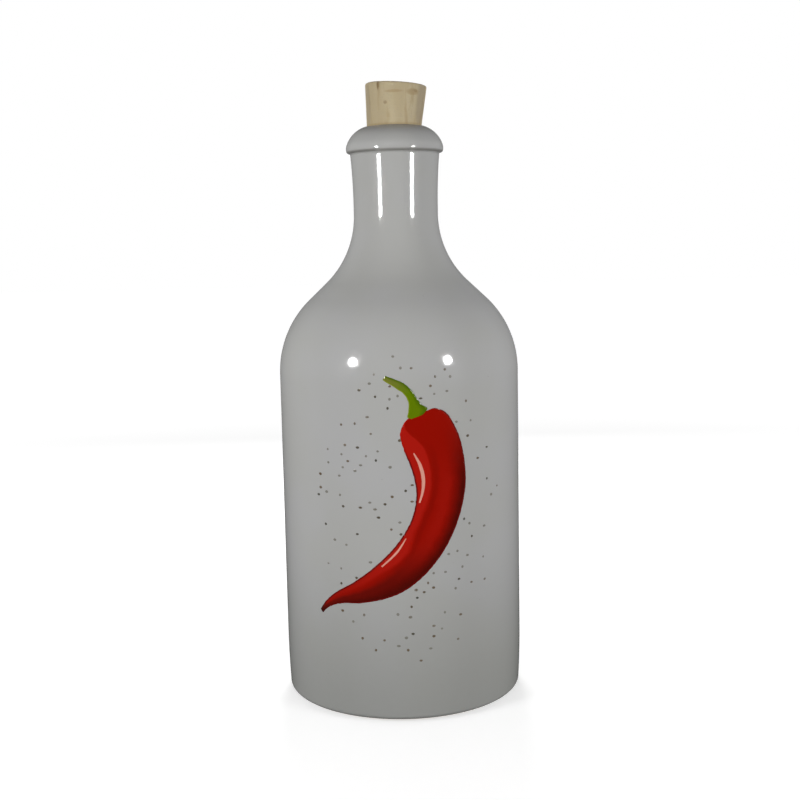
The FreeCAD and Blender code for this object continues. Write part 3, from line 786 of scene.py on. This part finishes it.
# Fruit: the back runs down the right, the inside down the left, both to the tip.
FRUIT_BACK = [(8.6, 101.8), (10.4, 102.9), (13.6, 102.2), (18.6, 95.6), (21.2, 86.8), (21.8, 78.5),
              (18.9, 66.5), (10.8, 53.0), (-0.1, 43.9), (-13.6, 39.8), (-21.6, 38.8), (-26.4, 36.8),
              (-28.9, 34.6)]
FRUIT_INSIDE = [(3.6, 100.9), (1.3, 98.6), (-0.1, 95.0), (1.0, 90.0), (3.5, 83.0), (4.7, 76.4),
                (3.5, 68.7), (-0.7, 61.0), (-8.0, 53.1), (-16.3, 46.6), (-24.2, 41.7), (-28.0, 38.2),
                (-29.9, 35.7)]
RED, RED_LIT, RED_DEEP = srgb(145, 13, 2), srgb(168, 24, 14), srgb(72, 9, 4)
RED_LINE, RED_TIP = srgb(104, 15, 13), srgb(60, 12, 6)


def fruit_paint(t, place, across, along, inset):
    """Bright down the inside, deep down the back and lower end, lined at the edge, dark at the tip."""
    soft = t.cloud(place, 3 * MM) - 0.5
    lit_to = (t.step(along, 0.03, 0.17, 0.04, 0.34) - t.step(along, 0.20, 0.45, 0.0, 0.16)
              + t.step(along, 0.47, 0.58, 0.0, 0.14) - t.step(along, 0.60, 0.70, 0.0, 0.08))
    blur = t.step(along, 0.2, 0.5, 0.02, 0.07)
    lit = t.step(across + soft * 0.04, lit_to + blur, lit_to - blur)
    colour = t.blend(lit * t.step(along, 0.92, 0.6, 0.25, 1.0), RED, RED_LIT)
    sheen = t.step(abs(across + soft * 0.2 - 0.56), 0.22, 0.02) * t.step(along, 0.15, 0.35)
    colour = t.blend(sheen * 0.35, colour, RED_LIT)
    shade = t.step(across + soft * 0.08, 0.62, 1.0) * t.step(along, 0.08, 0.32)
    colour = t.blend(shade, colour, RED_DEEP)
    lower = t.step(along, 0.45, 0.72) * t.step(across + soft * 0.1, 0.28, 0.55)
    colour = t.blend(lower * 0.75, colour, RED_DEEP)
    fold = t.step(abs(across + soft * 0.1 - lit_to - 0.1), 0.09, 0.02) * t.step(along, 0.1, 0.25)
    colour = t.blend(fold * t.step(along, 0.7, 0.5) * 0.16, colour, RED_DEEP)
    lined = t.step(along, 0.12, 0.2).maths("MAXIMUM", t.step(across, 0.5, 0.8))
    colour = t.blend(t.step(inset, 0.75, 0.35) * lined, colour, RED_LINE)
    colour = t.blend(t.step(along, 0.94, 1.0), colour, RED_TIP)
    return colour


fruit = enamel("chilli_fruit", FRUIT_INSIDE, FRUIT_BACK, rows=240, columns=44, thick=0.10,
               finish=enamel_finish("enamel_red", fruit_paint), wobble=0.12, end=90.0)

# Stalk and cup: from the tip of the stalk down into the flared cup on the fruit.
STALK_LEFT = [(-5.3, 112.2), (-1.0, 109.4), (1.4, 107.6), (2.7, 105.0), (2.6, 102.0), (2.4, 100.2),
              (3.6, 99.6)]
STALK_RIGHT = [(-4.4, 113.6), (1.7, 110.9), (3.9, 108.8), (5.8, 105.8), (7.0, 104.3), (8.8, 103.0),
               (7.4, 101.0)]
GREEN, GREEN_TIP = srgb(94, 120, 3), srgb(112, 117, 44)
GREEN_EDGE, GREEN_LINE = srgb(66, 92, 6), srgb(142, 150, 48)


def stalk_paint(t, place, across, along, inset):
    """Green, duller at the stalk's tip, dark on the right and lined pale on the left."""
    soft = t.cloud(place, 2 * MM) - 0.5
    colour = t.blend(t.step(along + soft * 0.2, 0.55, 0.1), GREEN, GREEN_TIP)
    colour = t.blend(t.step(across + soft * 0.2, 0.55, 0.95) * 0.8, colour, GREEN_EDGE)
    return t.blend(t.step(inset, 0.45, 0.15) * t.step(across, 0.9, 0.4) * 0.8, colour, GREEN_LINE)


enamel("chilli_stalk", STALK_LEFT, STALK_RIGHT, rows=90, columns=18, thick=0.14,
       finish=enamel_finish("enamel_green", stalk_paint), edge=0.25, wobble=0.08)

# Gloss strokes: a crescent high on the fruit and a thin slip lower down.
GLOSS_HIGH = ([(3.8, 88.9), (5.6, 84.4), (6.4, 80.2), (6.2, 76.2), (5.3, 72.7)],
              [(4.3, 89.1), (6.8, 84.8), (7.75, 80.2), (7.2, 76.0), (6.0, 72.6)])
GLOSS_LOW = ([(1.1, 61.7), (-1.8, 57.6), (-7.1, 52.3)],
             [(1.5, 61.4), (-1.1, 57.1), (-6.6, 51.8)])
GLOSS, GLOSS_RED = srgb(216, 152, 136), srgb(196, 96, 80)


def gloss_paint(t, place, across, along, inset):
    """Pale pink, redder towards its edge."""
    soft = t.cloud(place, 1.5 * MM) - 0.5
    return t.blend(t.step(inset + soft * 0.1, 0.3, 0.0) * 0.7, GLOSS, GLOSS_RED)


gloss_finish = enamel_finish("enamel_gloss", gloss_paint)
enamel("chilli_gloss_high", *GLOSS_HIGH, rows=70, columns=12, thick=0.16, finish=gloss_finish, edge=0.2)
enamel("chilli_gloss_low", *GLOSS_LOW, rows=60, columns=8, thick=0.16, finish=gloss_finish, edge=0.2)


# ---------------------------------------------------------------------------
# Spatter. Fine drops of brown and grey enamel flicked over the wall round the
# chilli, each a low oval bead fired into the glaze.
# ---------------------------------------------------------------------------

SPATTER_CENTRE, SPATTER_WIDE, SPATTER_TALL = (3.0, 70.0), 34.0, 52.0
SPATTER_DENSITY = 36000.0
DROP_SIZE, DROP_THICK, DROP_GAP, DROP_CLEAR = 0.5, 0.05, 2.4, (0.3, 0.5)
DROP_LEAST, DROP_MOST = (0.7, 0.65, 1.0), (1.25, 0.95, 1.0)
SPATTER_SEED, TINT_SEED = 4, 11

spatter, t, given = shape_tree("spatter", {
    "Wide": "Float", "Tall": "Float", "Middle": "Vector", "Density": "Float", "Gap": "Float",
    "Drop": "Float", "Thickness": "Float", "Seed": "Int", "Fruit": "Object", "Finish": "Material"})
x, y, z = t.parts(t.node("GeometryNodeInputPosition"))
mx, _, mz = t.parts(given["Middle"])
turn = x.maths("ARCTAN2", y * -1)
reach = ((turn * (WALL * MM) - mx) / given["Wide"]) ** 2 + ((z - mz) / given["Tall"]) ** 2
painted = t.node("GeometryNodeObjectInfo", sockets={"Object": given["Fruit"]}, out="Geometry")
clear = t.node("GeometryNodeProximity", {"target_element": "FACES"}, {0: painted}, out="Distance")
inside = t.step(reach, 1.0, 0.85) * fade(t, clear, DROP_CLEAR)
drops = t.node("GeometryNodeDistributePointsOnFaces", {"distribute_method": "POISSON"}, {
    "Mesh": given["Geometry"], "Distance Min": given["Gap"], "Density Max": given["Density"],
    "Density Factor": inside, "Seed": given["Seed"]})
facing = Wire(t, drops.socket.node.outputs["Rotation"])
bead = t.node("GeometryNodeMeshIcoSphere", sockets={"Radius": 1.0, "Subdivisions": 3})
spin = t.node("FunctionNodeRandomValue", {"data_type": "FLOAT_VECTOR"},
              {0: DROP_LEAST, 1: DROP_MOST, "Seed": given["Seed"]}, out=0)
full_size = t.node("ShaderNodeCombineXYZ", sockets={
    0: given["Drop"], 1: given["Drop"], 2: given["Thickness"]})
size = t.node("ShaderNodeVectorMath", {"operation": "MULTIPLY"}, {0: spin, 1: full_size})
placed = t.node("GeometryNodeInstanceOnPoints", sockets={
    "Points": drops, "Instance": bead, "Rotation": facing, "Scale": size})
tint = t.node("FunctionNodeRandomValue", {"data_type": "FLOAT"}, {"Seed": TINT_SEED}, out=1)
tinted = t.node("GeometryNodeStoreNamedAttribute", {"data_type": "FLOAT", "domain": "INSTANCE"},
                {"Geometry": placed, "Name": "tint", "Value": tint})
whole = t.node("GeometryNodeRealizeInstances", sockets={"Geometry": tinted})
smooth = t.node("GeometryNodeSetShadeSmooth", sockets={"Geometry": whole})
t.node("NodeGroupOutput", sockets={"Geometry": t.node("GeometryNodeSetMaterial", sockets={
    "Geometry": smooth, "Material": given["Finish"]})})

# Drops run from faint to dark, some rusty and some grey-green.
DROP_FAINT, DROP_RUST, DROP_DARK = srgb(128, 126, 118), srgb(104, 88, 70), srgb(74, 74, 66)

material, t = new_finish("spatter_enamel")
tint = t.node("ShaderNodeAttribute", {"attribute_name": "tint"}, out="Fac")
place = t.node("ShaderNodeTexCoord", out="Object")
tones = [(0.0, DROP_FAINT), (0.3, DROP_FAINT), (0.55, DROP_RUST), (1.0, DROP_DARK)]
colour = t.node("ShaderNodeValToRGB", {"stops": tones},
                {"Fac": tint + (t.cloud(place, 0.4 * MM) - 0.5) * 0.5})
finish_surface(t, t.node("ShaderNodeBsdfPrincipled", sockets={
    "Base Color": colour, "Roughness": 0.25 + tint * 0.1, "IOR": 1.5}))

host = add_piece("spatter_host", bottle.data.copy())
drops = made_by(host, "spatter_drops", spatter, **{
    "Wide": SPATTER_WIDE * MM, "Tall": SPATTER_TALL * MM,
    "Middle": (SPATTER_CENTRE[0] * MM, 0, SPATTER_CENTRE[1] * MM), "Density": SPATTER_DENSITY,
    "Gap": DROP_GAP * MM, "Drop": DROP_SIZE * MM, "Thickness": DROP_THICK * MM, "Seed": SPATTER_SEED,
    "Fruit": fruit, "Finish": material})
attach(drops, "root")
